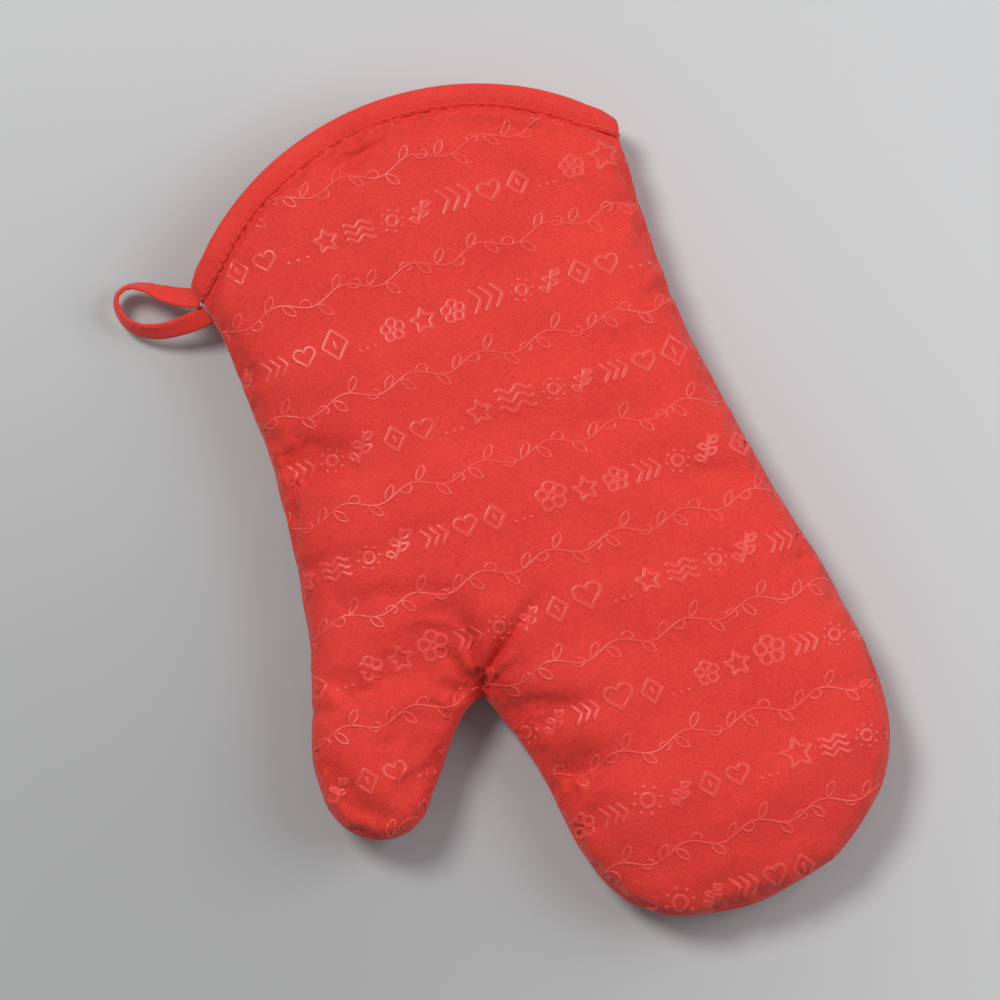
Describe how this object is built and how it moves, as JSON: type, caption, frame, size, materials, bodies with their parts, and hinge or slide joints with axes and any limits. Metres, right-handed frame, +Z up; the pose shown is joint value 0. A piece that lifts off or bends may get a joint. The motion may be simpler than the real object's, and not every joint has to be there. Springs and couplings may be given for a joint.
{
  "type": "oven mitt",
  "caption": "Quilted oven mitt lying palm up: padded hand, finger and thumb pockets, a bound curved cuff and a tape hanging loop. Fingers, thumb and loop bend.",
  "frame": {"origin": "the middle of the mitt's bounding box, at the surface it lies on", "axes": "+Z up out of the palm, +Y from the cuff to the fingertips, +X towards the thumb"},
  "size_m": [0.2218, 0.3298, 0.0378],
  "materials": {
    "printed_cloth": "fine cotton twill, matt with a faint sheen",
    "silicone_print": "thin raised silicone print, satin, slightly paler than the cloth",
    "tape": "the same cloth cut on the bias and folded into tape",
    "thread": "polyester sewing thread, slight sheen",
    "batting": "needled fibre wadding",
    "lining": "plain-woven undyed cotton"
  },
  "bodies": {
    "hand": {"hand_cloth_palm": "printed_cloth", "hand_cloth_back": "printed_cloth", "hand_batting_palm": "batting", "hand_batting_back": "batting", "hand_lining_palm": "lining", "hand_lining_back": "lining", "seam_thread_little_finger_side": "thread", "seam_thread_wrist": "thread", "seam_thread_crotch": "thread", "cuff_binding": "tape", "binding_topstitch": "thread", "loop_tail": "tape", "loop_bar_tack": "thread"},
    "fingers": {"fingers_cloth_palm": "printed_cloth", "fingers_cloth_back": "printed_cloth", "fingers_batting_palm": "batting", "fingers_batting_back": "batting", "fingers_lining_palm": "lining", "fingers_lining_back": "lining", "seam_thread_fingers": "thread"},
    "thumb": {"thumb_cloth_palm": "printed_cloth", "thumb_cloth_back": "printed_cloth", "thumb_batting_palm": "batting", "thumb_batting_back": "batting", "thumb_lining_palm": "lining", "thumb_lining_back": "lining", "seam_thread_thumb": "thread"},
    "loop": {"hanging_loop": "tape"}
  },
  "joints": [
    {"name": "finger_fold", "type": "hinge", "parent": "hand", "child": "fingers", "pos_m": [0, 0.05905, 0.038], "axis": [1, 0, 0], "range_deg": [0, 80]},
    {"name": "thumb_fold", "type": "hinge", "parent": "hand", "child": "thumb", "pos_m": [0.06056, 0.02505, 0.0378], "axis": [0.7465, -0.6654, 0], "range_deg": [0, 70]},
    {"name": "loop_swing", "type": "hinge", "parent": "hand", "child": "loop", "pos_m": [0.06218, -0.13287, 0.017], "axis": [0, 0, 1], "range_deg": [-45, 45]}
  ]
}
